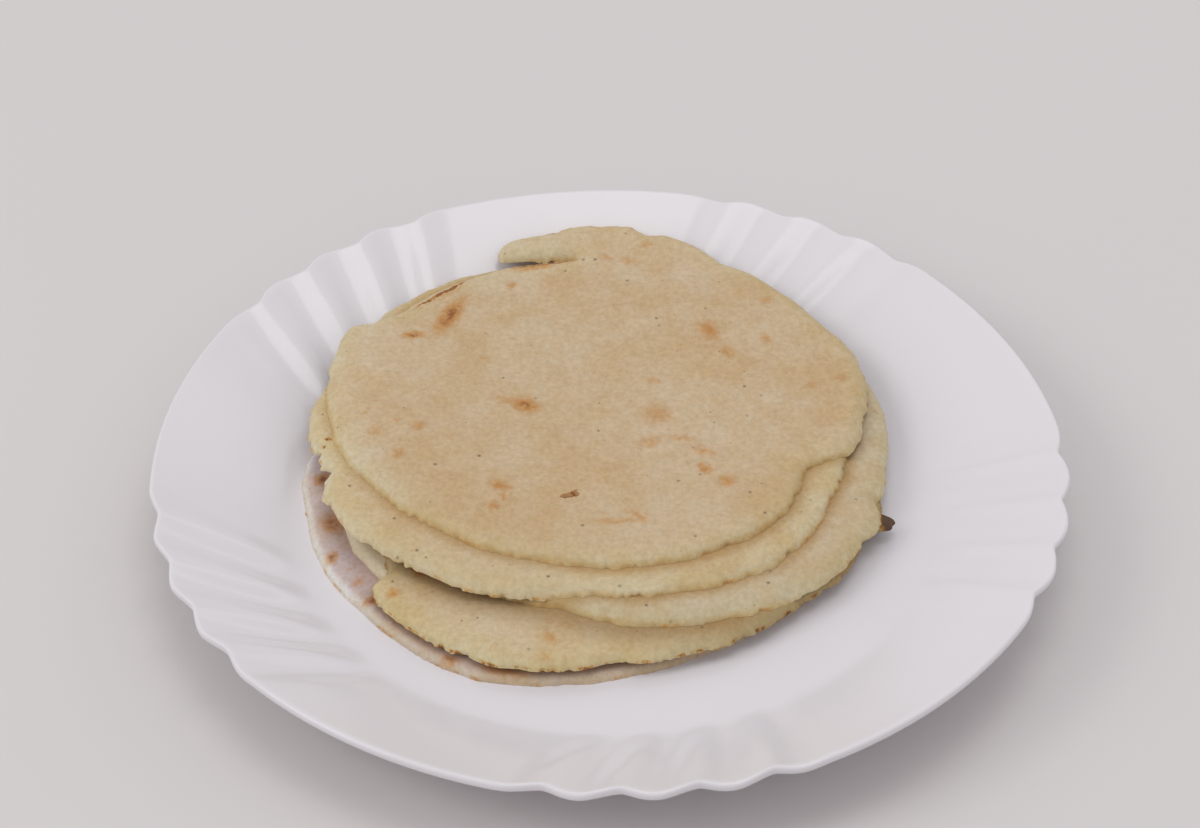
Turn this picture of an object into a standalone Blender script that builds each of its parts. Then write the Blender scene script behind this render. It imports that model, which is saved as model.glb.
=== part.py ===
"""A stack of six corn tortillas on a white dinner plate with a fluted rim.

Units are metres with +Z up. The plate stands on z = 0 with its middle on the Z axis, and the
stack is looked at from -Y. Each tortilla is a thin sheet that lies on what is under it.
"""
import math

import bmesh
import bpy
import numpy as np

MM = 0.001

# ---- plate ----
PLATE_RADIUS = 125 * MM
WELL_RADIUS = 84 * MM
WELL_TOP = 5.3 * MM
RIM_TOP = 24 * MM
PLATE_THICKNESS = 3.5 * MM
FOOT_OUTER = 71 * MM
FOOT_INNER = 65 * MM
FOOT_HEIGHT = 1.8 * MM

# The rim has five fans of ribs, with smooth arcs between them. Four notches in the plate's edge
# bound the lobes of a fan. A rib's ridge lies just before each notch, its trough in the lobe.
SECTORS = 5
SECTOR_ANGLE = 360 / SECTORS
FIRST_NOTCH = 334.3
PITCH = 9
NOTCHES = 4
FAN_ANGLE = PITCH * (NOTCHES - 1)
FAN_MARGIN = 0.75 * PITCH  # how far a fan's ribs reach past its outer notches
FAN_STEPS = 18
ARC_STEPS = 7
NOTCH_DEPTH = 2.2 * MM
EDGE_RISE = 0.8 * MM
RIDGE_LEAD = 2  # degrees from a ridge on to its notch
RIB_HEIGHT = 1.1 * MM  # of a ridge above the plain rim, and of the rim above a trough
RIB_START = 0.02  # share of the way up the rim where the ribs begin to stand out,
RIB_FULL = 0.45  # where they have their full height,
RIB_FADE = 0.6  # and where they begin to lose some of it towards the edge
EDGE_SHARE = 0.6  # of the full height is left at the edge
SWIRL = 0.34  # tangent of the angle between a rib and the plate's radius

# ---- tortillas ----
TORTILLA_THICKNESS = 2.1 * MM
GAP = 0.4 * MM
BEND_RADIUS = 260 * MM
OUTLINE_POINTS = 84
CORNER_CLEARANCE = 2  # degrees kept free on each side of a listed departure
SHEET_CELL = 15 * MM
CUT_SNAP = 0.4 * MM  # a cut this close to a point of the outline goes through the point
EDGE_WAVE = 0.45 * MM
EDGE_WAVES = (11, 23)  # waves around a sheet
COVER = 3 * MM  # how far past its edge a sheet is taken to rest on what is under it

# Height fields are kept on a square grid over the whole plate.
FIELD_STEP = 2 * MM
FIELD_HALF = 130 * MM
NO_SHEET = -1.0  # a height far below everything

# Each sheet is a circle with departures from it, (angle in degrees, millimetres outward), with
# its front, towards -Y, moved outward by some millimetres more, and with places where it stands
# up, (x, y, reach, height in millimetres). From bottom to top.
SHEETS = [
    {
        "name": "tortilla_6", "centre": (-10.6, 6.4), "radius": 74.8, "front": 0.8,
        "colour": (0.60, 0.50, 0.45),
        "departures": [(60, -1), (140, -3), (162, -2), (171, 0.8), (178, 0.4), (191, -0.7),
                       (223, -1.1), (238, 0.4), (252, 2.5), (263, 0.9), (272, -0.7),
                       (298, -1.8), (308, -1), (323, 1.9), (350, 0.5)],
        "lifts": [],
    },
    {
        "name": "tortilla_5", "centre": (-3, 7.5), "radius": 72.5, "front": -1.5,
        "colour": (0.62, 0.58, 0.50),
        "departures": [(180, 0.5), (193, 0.3), (213, -1.7), (240, -1.5), (300, -1.5),
                       (330, 0.5), (350, 1)],
        "lifts": [],
    },
    {
        # A burnt nub stands out of its right side.
        "name": "tortilla_4", "centre": (0, 4), "radius": 75.5, "front": -2.3,
        "colour": (0.66, 0.57, 0.38),
        "departures": [(30, -3), (90, -3), (150, -6), (195, -9), (206, -7.5), (211, -4.5),
                       (213, 2), (217, 3), (246, 3.2), (257, 1.5), (263, -1), (272, -4),
                       (280, -2.6), (288, -4.2), (318, -4.8), (328, -3), (343, -2.2),
                       (346.2, 0), (346.8, 3), (348.6, 4.2), (350.3, 3.9), (351, 0.2),
                       (357, -0.5)],
        "lifts": [],
    },
    {
        "name": "tortilla_3", "centre": (-3, 20), "radius": 80, "front": -1.6,
        "colour": (0.70, 0.61, 0.40),
        "departures": [(5, 1.5), (18, 1.8), (32, 1.2), (52, -3), (90, -4), (150, -6),
                       (200, -7), (240, -9), (262, -9.5), (270, -6), (280, -1.8), (290, 0.2),
                       (300, 2), (316, 4.5), (325, 4.2), (331, 3.7), (335, 4.3), (338.7, 3),
                       (342, 0.3), (344, 2), (350, 1)],
        "lifts": [(18, -56, 26, 1.3)],
    },
    {
        "name": "tortilla_2", "centre": (-7.2, 24.3), "radius": 76.3, "front": -2.3,
        "colour": (0.72, 0.63, 0.41),
        "departures": [(90, -2), (125, 0.6), (140, 0.8), (158, -2), (170, -1), (172.5, 1),
                       (186, 1), (193, -1), (197, -3), (200, -0.5), (204, 2), (217, 2),
                       (237, 0.6), (251, 0.3), (264, -2.8), (273, -2.8), (280, -1.2),
                       (290, -0.2), (297, 1.7), (311, 2.6), (320, 1.8), (330, 0),
                       (348, -1.4)],
        "lifts": [(-52, -32, 26, 1.5)],
    },
    {
        "name": "tortilla_1", "centre": (-3.5, 31.8), "radius": 72.4, "front": -2.3,
        "colour": (0.62, 0.50, 0.32),
        "departures": [(2, 4.3), (14, 4.8), (25, 2.4), (42, 1.2), (60, 1.8), (66, 5),
                       (75, 7.2), (78.5, 4.8), (82, 8.4), (96, 8.7), (102, 5.8), (108, 5.6),
                       (112, 3.8), (119, -6), (137, -4), (146, -3.6), (151, 0.5), (155, 6.4),
                       (170, 5.4), (190, 3), (201, 2.6), (213, 0), (255, -1.2), (272, 0),
                       (290, 1.4), (312, -0.6), (320, -2), (326, -4.2), (331, -7),
                       (336, -5.5), (339, -1.5), (342, 1.6), (350, 2.8)],
        "lifts": [(-62, 2, 22, 0.9), (30, -35, 24, 0.4)],
        # A flap's tip and inner side, the end of the slit, and the lip in front of it, as
        # places on the plate in millimetres. They stand for the outline between two angles.
        "tear": {"from": 111, "to": 119,
                 "points": [(-29.7, 105.4), (-31.8, 103.4), (-32.9, 101), (-32.9, 98.8),
                            (-31.9, 97.1), (-30, 96.4), (-24, 96.4), (-16, 97.4),
                            (-10.4, 97.9), (-9.6, 97.1), (-15, 95.7), (-22, 94.3),
                            (-29, 93.1)]},
    },
]
NO_TEAR = {"from": 360, "to": 360, "points": []}

PLATE_COLOUR = (0.80, 0.79, 0.80)
PLATE_ROUGHNESS = 0.12
TORTILLA_ROUGHNESS = 0.75
SHARP_ANGLE = math.radians(40)


def material(name, colour, roughness):
    """A Principled material of one colour."""
    made = bpy.data.materials.new(name)
    made.use_nodes = True
    shader = made.node_tree.nodes["Principled BSDF"]
    shader.inputs["Base Color"].default_value = (*colour, 1)
    shader.inputs["Roughness"].default_value = roughness
    shader.inputs["Metallic"].default_value = 0
    return made


def add_object(name, bm, location, finish):
    """Makes an object of a bmesh in the stack's collection."""
    mesh = bpy.data.meshes.new(name)
    bm.to_mesh(mesh)
    bm.free()
    mesh.materials.append(finish)
    mesh.shade_smooth()
    mesh.set_sharp_from_angle(angle=SHARP_ANGLE)
    made = bpy.data.objects.new(name, mesh)
    made.location = location
    bpy.data.collections["tortilla_stack"].objects.link(made)
    return made


# ---------------------------------------------------------------- plate

def upper_profile():
    """(radius, height) of the plate's upper side, from its middle to the top of the rim."""
    return [(0, WELL_TOP), (WELL_RADIUS, WELL_TOP), (88.5 * MM, 6.2 * MM), (94 * MM, 8.5 * MM),
            (104 * MM, 13.4 * MM), (115 * MM, 19 * MM), (122 * MM, 22.7 * MM),
            (124.4 * MM, RIM_TOP)]


def lower_profile():
    """(radius, height) from the rim's outermost edge, underneath and over the foot, inward."""
    base = WELL_TOP - PLATE_THICKNESS
    return [(PLATE_RADIUS, RIM_TOP - 0.9 * MM), (124 * MM, RIM_TOP - 2.2 * MM),
            (106 * MM, 10.9 * MM), (96 * MM, 5.5 * MM), (88 * MM, base + 0.6 * MM),
            (FOOT_OUTER + 1 * MM, base), (FOOT_OUTER, 0), (FOOT_INNER + 1 * MM, 0),
            (FOOT_INNER, FOOT_HEIGHT), (0, FOOT_HEIGHT)]


def smooth_step(value, low, high):
    """0 below low, 1 above high, and a smooth climb between."""
    share = np.clip((value - low) / (high - low), 0, 1)
    return share * share * (3 - 2 * share)


def swirl_angle(radius):
    """Degrees that a rib has turned at a radius, counted from the plate's edge."""
    inside = np.clip(radius, WELL_RADIUS, PLATE_RADIUS)
    return np.degrees(SWIRL * np.log(PLATE_RADIUS / inside))


def edge_offset(place):
    """How far the edge stands out from PLATE_RADIUS at a place in a sector, in degrees."""
    along_arc = np.clip((place - FAN_ANGLE) / (SECTOR_ANGLE - FAN_ANGLE), 0, 1)
    rise = EDGE_RISE * (2 * along_arc - 1) ** 2
    nearest = np.clip(np.round(place / PITCH), 0, NOTCHES - 1) * PITCH
    away = np.minimum(np.abs(place - nearest), np.abs(SECTOR_ANGLE - place))
    return rise - NOTCH_DEPTH * (1 - np.sin(np.pi * np.minimum(away / PITCH, 0.5)))


def rib_wave(place):
    """1 on a ridge, -1 in a trough and 0 on the arcs, at a place in a sector."""
    middle_of_arc = (FAN_ANGLE + SECTOR_ANGLE) / 2
    place = np.where(place > middle_of_arc, place - SECTOR_ANGLE, place)
    first_ridge, last_trough = -RIDGE_LEAD, FAN_ANGLE + PITCH / 2 - RIDGE_LEAD
    within = np.clip(place, first_ridge, last_trough)
    beyond = np.clip(np.abs(place - within) / (PITCH / 2), 0, 1)
    taper = (1 + np.cos(np.pi * beyond)) / 2
    return np.cos(2 * np.pi * (within - first_ridge) / PITCH) * taper


def rib_offset(radius, angle):
    """Offsets (outward, upward) of the plate's surface at a radius and an angle in degrees."""
    place = (angle - swirl_angle(radius) - FIRST_NOTCH) % SECTOR_ANGLE
    climb = np.clip((radius - WELL_RADIUS) / (PLATE_RADIUS - WELL_RADIUS), 0, 1)
    fading = 1 - (1 - EDGE_SHARE) * smooth_step(climb, RIB_FADE, 1)
    height = RIB_HEIGHT * smooth_step(climb, RIB_START, RIB_FULL) * fading
    return edge_offset(place) * climb ** 1.5, height * rib_wave(place)


def plate_height(x, y):
    """Height of the plate's upper side over a grid, with its ribs."""
    radius = np.hypot(x, y)
    angle = np.degrees(np.arctan2(y, x))
    radii, heights = zip(*upper_profile())
    return np.interp(radius, radii, heights) + rib_offset(radius, angle)[1]


def spread_angle(turn):
    """Where a step of the even spin goes, so that steps are close in a fan and wide in an arc."""
    steps = FAN_STEPS + ARC_STEPS
    sector, step = divmod(turn / 360 * SECTORS * steps, steps)
    place = np.interp(step, [0, FAN_STEPS, steps],
                      [-FAN_MARGIN, FAN_ANGLE + FAN_MARGIN, SECTOR_ANGLE - FAN_MARGIN])
    return FIRST_NOTCH + sector * SECTOR_ANGLE + place


def make_plate():
    """The profile spun about the Z axis, then its rings turned and pushed into ribs."""
    bm = bmesh.new()
    points = [bm.verts.new((radius, 0, height)) for radius, height in
              upper_profile() + lower_profile()]
    edges = [bm.edges.new(pair) for pair in zip(points, points[1:])]
    bmesh.ops.spin(bm, geom=points + edges, cent=(0, 0, 0), axis=(0, 0, 1), angle=2 * math.pi,
                   steps=SECTORS * (FAN_STEPS + ARC_STEPS), use_merge=True)
    bmesh.ops.remove_doubles(bm, verts=bm.verts, dist=0.01 * MM)
    for vert in bm.verts:
        radius = math.hypot(vert.co.x, vert.co.y)
        if radius < FOOT_INNER:
            continue
        turn = round(math.degrees(math.atan2(vert.co.y, vert.co.x)), 3) % 360
        angle = spread_angle(turn) + swirl_angle(radius)
        outward, upward = rib_offset(radius, angle)
        radius += outward
        vert.co.x = radius * math.cos(math.radians(angle))
        vert.co.y = radius * math.sin(math.radians(angle))
        vert.co.z += upward
    bmesh.ops.recalc_face_normals(bm, faces=bm.faces)
    return add_object("plate", bm, (0, 0, 0),
                      material("opal_glass", PLATE_COLOUR, PLATE_ROUGHNESS))


# ---------------------------------------------------------------- tortillas

def edge_radius(sheet, angle):
    """Distance of a sheet's edge from its centre, in metres, at an angle in degrees."""
    angles, offsets = zip(*sheet["departures"])
    angles = np.array([angles[-1] - 360, *angles, angles[0] + 360])
    offsets = np.array([offsets[-1], *offsets, offsets[0]])
    frontness = np.maximum(0, -np.sin(np.radians(angle))) ** 3
    return (sheet["radius"] + np.interp(angle % 360, angles, offsets)
            + sheet["front"] * frontness) * MM


def edge_wave(sheet, angle):
    """A small wave along the edge, which differs from sheet to sheet."""
    turn = math.radians(angle)
    waves = [math.sin(count * turn + count * sheet["radius"]) for count in EDGE_WAVES]
    return EDGE_WAVE * sum(waves) / len(waves)


def edge_point(sheet, angle):
    """The place on a sheet's edge at an angle in degrees, from the sheet's centre."""
    radius = edge_radius(sheet, angle) + edge_wave(sheet, angle)
    return radius * math.cos(math.radians(angle)), radius * math.sin(math.radians(angle))


def outline(sheet):
    """Points along a sheet's edge, anticlockwise, in metres from its centre."""
    corners = [angle for angle, offset in sheet["departures"]]
    even = [360 * step / OUTLINE_POINTS for step in range(OUTLINE_POINTS)]
    clear = [angle for angle in even
             if all(abs(angle - corner) > CORNER_CLEARANCE for corner in corners)]
    angles = sorted(clear + corners)
    centre_x, centre_y = sheet["centre"]
    tear = sheet.get("tear", NO_TEAR)
    before = [edge_point(sheet, angle) for angle in angles if angle <= tear["from"]]
    torn = [((x - centre_x) * MM, (y - centre_y) * MM) for x, y in tear["points"]]
    after = [edge_point(sheet, angle) for angle in angles if angle >= tear["to"]]
    return before + torn + after


def shifted(field, shift, axis):
    """A field moved by whole cells along an axis, its last row repeated where none moves in."""
    last = field.shape[axis] - 1
    cells = np.clip(np.arange(last + 1) - shift, 0, last)
    return np.take(field, cells, axis=axis)


def domed(field, radius, sign):
    """The highest of domes (sign 1), or the lowest of bowls (sign -1), stood on every cell."""
    reach = field.shape[0] // 2
    pick = np.maximum if sign > 0 else np.minimum
    for axis in (0, 1):
        best = field
        for shift in range(-reach, reach + 1):
            fall = (shift * FIELD_STEP) ** 2 / (2 * radius)
            best = pick(best, shifted(field, shift, axis) - sign * fall)
        field = best
    return field


def drape_all():
    """The height of each sheet's lower side over the grid, each laid on those before it."""
    line = np.arange(-FIELD_HALF, FIELD_HALF + FIELD_STEP / 2, FIELD_STEP)
    x, y = np.meshgrid(line, line, indexing="ij")
    support = plate_height(x, y)
    fields = []
    for sheet in SHEETS:
        from_x, from_y = x - sheet["centre"][0] * MM, y - sheet["centre"][1] * MM
        angle = np.degrees(np.arctan2(from_y, from_x))
        inside = np.hypot(from_x, from_y) < edge_radius(sheet, angle) + COVER
        # Domes of twice the radius, then bowls, bend by at most the radius and stay above.
        lower = domed(np.where(inside, support + GAP, NO_SHEET), 2 * BEND_RADIUS, 1)
        lower = domed(lower, BEND_RADIUS, -1)
        for lift_x, lift_y, reach, height in sheet["lifts"]:
            distance = np.hypot(x - lift_x * MM, y - lift_y * MM) / (reach * MM)
            lower = lower + height * MM * np.exp(-distance ** 2)
        fields.append(lower)
        support = np.where(inside, np.maximum(support, lower + TORTILLA_THICKNESS), support)
    return fields


def sample(field, x, y):
    """A field's value between its cells."""
    column = (x + FIELD_HALF) / FIELD_STEP
    row = (y + FIELD_HALF) / FIELD_STEP
    i, j = int(column), int(row)
    across, along = column - i, row - j
    near = field[i, j] * (1 - across) + field[i + 1, j] * across
    far = field[i, j + 1] * (1 - across) + field[i + 1, j + 1] * across
    return float(near * (1 - along) + far * along)


def cut_into_cells(bm, centre_x, centre_y):
    """Cuts a flat face along a square lattice that all sheets share, then into triangles."""
    cuts = int(FIELD_HALF / SHEET_CELL)
    for axis, centre in (((1, 0, 0), centre_x), ((0, 1, 0), centre_y)):
        for step in range(-cuts, cuts + 1):
            place = [share * (step * SHEET_CELL - centre) for share in axis]
            bmesh.ops.bisect_plane(bm, geom=bm.verts[:] + bm.edges[:] + bm.faces[:],
                                   dist=CUT_SNAP, plane_co=place, plane_no=axis)
    bmesh.ops.triangulate(bm, faces=bm.faces, ngon_method="BEAUTY")


def make_tortilla(sheet, field):
    """The outline filled, cut into cells, laid over the field and thickened."""
    bm = bmesh.new()
    centre_x, centre_y = (value * MM for value in sheet["centre"])
    bm.faces.new([bm.verts.new((x, y, 0)) for x, y in outline(sheet)])
    cut_into_cells(bm, centre_x, centre_y)
    for vert in bm.verts:
        vert.co.z = sample(field, vert.co.x + centre_x, vert.co.y + centre_y)
    lowest = min(vert.co.z for vert in bm.verts)
    bmesh.ops.translate(bm, verts=bm.verts, vec=(0, 0, -lowest))
    made = add_object(sheet["name"], bm, (centre_x, centre_y, lowest),
                      material(sheet["name"] + "_crumb", sheet["colour"], TORTILLA_ROUGHNESS))
    thicken = made.modifiers.new("thickness", "SOLIDIFY")
    thicken.thickness = TORTILLA_THICKNESS
    thicken.offset = 1
    return made


def main():
    for old in list(bpy.data.objects):
        bpy.data.objects.remove(old, do_unlink=True)
    bpy.context.scene.collection.children.link(bpy.data.collections.new("tortilla_stack"))
    make_plate()
    for sheet, field in zip(SHEETS, drape_all()):
        make_tortilla(sheet, field)


main()
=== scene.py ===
import math
import random

import bmesh
import bpy
import numpy as np
from bmesh.types import BMEdge, BMFace, BMVert
from mathutils import Matrix, Vector, noise
from mathutils.bvhtree import BVHTree
from mathutils.kdtree import KDTree


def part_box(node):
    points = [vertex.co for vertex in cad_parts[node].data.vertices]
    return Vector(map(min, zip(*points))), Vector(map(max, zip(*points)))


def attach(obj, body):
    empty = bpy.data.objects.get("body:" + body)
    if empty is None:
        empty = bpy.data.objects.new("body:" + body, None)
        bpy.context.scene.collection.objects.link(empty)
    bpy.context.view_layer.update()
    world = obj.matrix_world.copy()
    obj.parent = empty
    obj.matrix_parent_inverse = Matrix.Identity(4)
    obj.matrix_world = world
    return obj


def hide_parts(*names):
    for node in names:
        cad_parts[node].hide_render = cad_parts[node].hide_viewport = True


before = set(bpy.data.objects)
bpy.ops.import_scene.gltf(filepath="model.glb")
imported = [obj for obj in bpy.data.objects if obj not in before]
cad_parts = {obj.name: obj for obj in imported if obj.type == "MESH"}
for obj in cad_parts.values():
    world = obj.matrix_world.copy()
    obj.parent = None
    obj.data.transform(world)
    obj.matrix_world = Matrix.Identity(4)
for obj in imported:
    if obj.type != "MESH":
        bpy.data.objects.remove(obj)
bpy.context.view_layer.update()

bl_info = {
    "name": "Corn tortilla stack",
    "version": (1, 0, 0),
    "blender": (4, 5, 0),
    "location": "View3D > Sidebar > Tortillas",
    "description": "Corn tortillas stacked on a white fluted plate, on a lit table",
    "category": "Add Mesh",
}

MM = 0.001
WELD = 0.002 * MM
RIM_TOP = 24 * MM


# ---------------------------------------------------------------- settings

class PlateSettings(bpy.types.PropertyGroup):
    """Sizes and finish of the plate."""
    radius: bpy.props.FloatProperty(
        name="Radius", description="Mean radius of the plate's edge", default=124.9 * MM,
        unit="LENGTH")
    well_radius: bpy.props.FloatProperty(
        name="Well radius", description="Radius of the flat middle", default=84 * MM,
        unit="LENGTH")
    swirl: bpy.props.FloatProperty(
        name="Swirl", description="Tangent of the angle between a rib and the radius",
        default=0.34)
    rib_height: bpy.props.FloatProperty(
        name="Rib height", description="Height of a ridge above the plain rim",
        default=0.9 * MM, unit="LENGTH")
    notch_depth: bpy.props.FloatProperty(
        name="Notch depth", description="How far a notch bites into the edge",
        default=2.2 * MM, unit="LENGTH")
    glass: bpy.props.FloatVectorProperty(
        name="Glass", description="Colour of the opal glass", subtype="COLOR",
        default=(0.782, 0.748, 0.776))


class TortillaSettings(bpy.types.PropertyGroup):
    """Sizes and colours that all tortillas share."""
    thickness: bpy.props.FloatProperty(
        name="Thickness", description="Thickness away from the edge", default=2.1 * MM,
        unit="LENGTH")
    edge_step: bpy.props.FloatProperty(
        name="Edge step", description="Distance between points along an edge",
        default=0.5 * MM, unit="LENGTH")
    shoulder: bpy.props.FloatProperty(
        name="Shoulder", description="How far in from the edge the top rounds down",
        default=2.4 * MM, unit="LENGTH")
    blunt: bpy.props.FloatProperty(
        name="Blunt", description="Share of the thickness that is left at the very edge",
        default=0.02)
    golden: bpy.props.FloatVectorProperty(
        name="Golden", description="Share of the dough's colour in its golden patches",
        subtype="COLOR", default=(0.945, 0.86, 0.72))
    pale: bpy.props.FloatVectorProperty(
        name="Pale", description="Dough colour of the pale patches, as a share of the usual one",
        subtype="COLOR", default=(1.03, 1.07, 1.16), soft_max=1.5)
    fringe: bpy.props.FloatVectorProperty(
        name="Fringe", description="Dough colour towards the edge, as a share of the usual one",
        subtype="COLOR", default=(1.00, 1.04, 0.98), soft_max=1.5)
    paler_left_and_back: bpy.props.FloatVectorProperty(
        name="Paler left and back",
        description="Dough colour at the far left and back, as a share of the usual one",
        subtype="COLOR", default=(1.08, 1.15, 1.27), soft_max=1.5)
    # Holes are painted: darker inside partly as crumb and partly as painted shade, with painted
    # shade at the near edge.
    hole: bpy.props.FloatVectorProperty(
        name="Hole", description="Share of the dough's colour left in a small hole",
        subtype="COLOR", default=(0.66, 0.48, 0.32))
    hole_edge_shade: bpy.props.FloatVectorProperty(
        name="Hole edge shade", description="Share of the dough's colour left at a hole's near edge",
        subtype="COLOR", default=(0.38, 0.25, 0.15))
    light_toast: bpy.props.FloatVectorProperty(
        name="Light toast", description="Share of the dough's colour left where it has browned",
        subtype="COLOR", default=(0.90, 0.64, 0.38))
    dark_toast: bpy.props.FloatVectorProperty(
        name="Dark toast", description="Share of the dough's colour left in the darkest marks",
        subtype="COLOR", default=(0.50, 0.25, 0.13))
    char: bpy.props.FloatVectorProperty(
        name="Char", description="Colour of burnt specks", subtype="COLOR",
        default=(0.09, 0.06, 0.045))


class StageSettings(bpy.types.PropertyGroup):
    """Table, lights and camera."""
    table: bpy.props.FloatVectorProperty(
        name="Table", description="Colour of the table", subtype="COLOR",
        default=(0.705, 0.668, 0.665))
    elevation: bpy.props.FloatProperty(
        name="Elevation", description="Angle of the camera above the horizon",
        default=math.radians(40.1), subtype="ANGLE")
    distance: bpy.props.FloatProperty(
        name="Distance", description="From the camera to what it looks at", default=0.904,
        unit="LENGTH")
    focal_length: bpy.props.FloatProperty(
        name="Focal length", description="Focal length in millimetres", default=97.3)
    key_power: bpy.props.FloatProperty(
        name="Key power", description="Power of the large light on the left, in watts",
        default=8.5)
    panel_power: bpy.props.FloatProperty(
        name="Panel power", description="Power of the light overhead, in watts", default=2.4)
    window_power: bpy.props.FloatProperty(
        name="Window power", description="Power of the window light, in watts", default=0.2)
    room_strength: bpy.props.FloatProperty(
        name="Room strength", description="Strength of the even light of the room",
        default=0.66)


# What sets each sheet apart. Crumb is its colour and rim that of its rounded edge, both linear.
# Contact shade is painted shade, the share of the colour left where an edge lies on something.
# Painted shade beside the sheets that lie above leaves a share of the colour, fading out over
# reach. Cell is the size of the mesh's squares.
# Ragged is how far the edge wanders, nicks are small bites, and singe is how browned it is.
# Marks are toasted places: x, y, half-length and half-width in millimetres, turn in degrees and
# darkness. Flakes are the same with a crisp outline, and holes have no darkness.
SHEETS = {
    "tortilla_6": {
        "cell": 1.8 * MM, "ragged": 0.35, "nicks": 0, "nick_depth": 0.6 * MM, "seed": 6,
        "crumb": (0.54, 0.405, 0.365), "rim": (0.68, 0.59, 0.52),
        "toe": (0.97, 0.93, 0.88), "shelter": (0.85, 0.76, 0.66),
        "above": ("tortilla_5", "tortilla_4"), "reach": 7 * MM, "singe": 0.5,
        "marks": [(-80, 8.5, 2.6, 2.3, 55, 1.1), (-76, -9.5, 4.6, 4, -35, 0.85),
                  (-75.5, -22.5, 2.2, 2.6, -20, 1), (-68, -32.5, 2, 2.6, -25, 0.65),
                  (-64, -39.5, 1.9, 2.2, -20, 0.95), (-56, -47, 2.3, 1.9, -20, 0.8),
                  (-42, -62, 2.9, 1.7, -25, 0.8), (-28.5, -66, 7.2, 1.7, -10, 0.7)],
    },
    "tortilla_5": {
        "cell": 1.8 * MM, "ragged": 0.5, "nicks": 10, "nick_depth": 0.6 * MM, "seed": 5,
        "crumb": (0.71, 0.59, 0.45), "rim": (0.68, 0.59, 0.47),
        "toe": (0.97, 0.92, 0.86), "above": (), "singe": 0,
    },
    "tortilla_4": {
        "cell": 1.6 * MM, "ragged": 0.8, "nicks": 40, "nick_depth": 0.8 * MM, "seed": 4,
        "crumb": (0.595, 0.455, 0.275), "rim": (0.62, 0.505, 0.31),
        "toe": (0.75, 0.58, 0.42), "shelter": (0.64, 0.555, 0.44),
        "above": ("tortilla_3",), "reach": 11 * MM, "singe": 0.95,
        "marks": [(-57.5, -41.5, 2, 2.4, -30, 0.7), (-51, -33.5, 2.7, 2.2, -50, 0.8),
                  (-15.5, -59, 2, 3, 30, 0.5), (-17, -65.5, 1.9, 2.1, 0, 0.4)],
        "flakes": [(77.2, -11.4, 3.6, 3.4, 0, 1.5)],
    },
    "tortilla_3": {
        "cell": 1.6 * MM, "ragged": 0.6, "nicks": 18, "nick_depth": 0.8 * MM, "seed": 3,
        "crumb": (0.56, 0.443, 0.295), "rim": (0.60, 0.50, 0.335),
        "toe": (0.95, 0.82, 0.62), "shelter": (0.81, 0.69, 0.50),
        "above": ("tortilla_2",), "reach": 4 * MM, "singe": 0.45,
        "marks": [(-1.3, -54.5, 1.4, 0.9, -20, 0.4), (75.3, 30.6, 1.5, 0.9, -65, 0.4),
                  (64.3, -30.4, 0.7, 0.7, 0, 0.9)],
    },
    "tortilla_2": {
        "cell": 1.6 * MM, "ragged": 1.0, "nicks": 46, "nick_depth": 1.1 * MM, "seed": 2,
        "crumb": (0.585, 0.45, 0.275), "rim": (0.62, 0.505, 0.34),
        "toe": (0.92, 0.78, 0.56), "shelter": (0.80, 0.69, 0.53),
        "above": ("tortilla_1",), "reach": 4 * MM, "singe": 0.5,
        "marks": [(-78.2, 14.1, 0.7, 0.7, 0, 1.4), (-79.3, 11.6, 0.5, 0.5, 0, 1.4)],
    },
    "tortilla_1": {
        "cell": 1.25 * MM, "ragged": 0.8, "nicks": 22, "nick_depth": 0.7 * MM, "seed": 1,
        "crumb": (0.575, 0.428, 0.262), "rim": (0.60, 0.475, 0.30),
        "toe": (0.90, 0.75, 0.53), "above": (), "singe": 0.35,
        "marks": [(-46, 67.5, 9.5, 3, 65, 1.05), (-56.5, 58, 4, 2, 10, 0.95),
                  (-27, 28, 7.8, 2.5, -20, 0.45), (-23.5, 27, 4.2, 3.4, -40, 0.95),
                  (29, 60.5, 5.6, 3.2, -75, 0.65), (34, 51, 3.1, 2.2, -65, 0.55),
                  (12.5, 38, 2.3, 2, -45, 0.55), (13.5, 23, 5.3, 5, -55, 0.5),
                  (11, 11.5, 4.6, 2.7, 20, 0.55), (20, 13, 6, 1.7, -10, 0.45),
                  (26, 7.5, 4.7, 2.2, -35, 0.5), (26, 0, 2.9, 2.2, -60, 0.75),
                  (32, -5.5, 3.1, 2.7, 50, 0.7), (-58, 4, 2.2, 2.7, 25, 0.5),
                  (-53, 16.5, 2.7, 2.8, 25, 0.5), (-65, 14, 2.9, 3.3, 25, 0.4),
                  (-30, -8, 3.4, 2.2, -20, 0.65), (-31.5, -16.5, 1.9, 2.5, -30, 0.6),
                  (-29, -12.5, 1.8, 1.3, -55, 0.6), (2.5, -22, 10.1, 1.8, 0, 0.45),
                  (8, -20.5, 3.9, 2.2, -40, 0.5), (46, 75, 2.4, 2.3, -30, 0.45),
                  (45, 57, 2.2, 2.2, -30, 0.45), (65.5, 40, 2.8, 2.8, -50, 0.45),
                  (57.5, 36, 2, 2.2, -15, 0.4), (5.5, 94, 3, 1.7, -20, 0.45),
                  (11.5, 101, 2.9, 1.7, 10, 0.45), (-0.5, 95, 2.5, 1.7, -10, 0.45),
                  (-22, 90.5, 8, 2, 10, 0.75), (-11, 94, 2.9, 1.3, 35, 0.9),
                  (-48.5, 77, 9, 1.6, 40, 0.4), (-28.5, 82, 1.8, 2, 20, 0.55)],
        "holes": [(-11.4, -11.4, 2.3, 1, 19), (-9.4, -10.6, 1.3, 1.1, 70)],
        # The first flake is painted shade along a slight crease, not toast.
        "flakes": [(-67.1, 27.2, 7.4, 0.28, 13, 0.28), (-48.9, 77.8, 10.5, 0.7, 41.5, 1.1),
                   (-20, 91.9, 9.5, 0.8, 11.5, 1.05)],
    },
}


# ---------------------------------------------------------------- shader nodes

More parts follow.
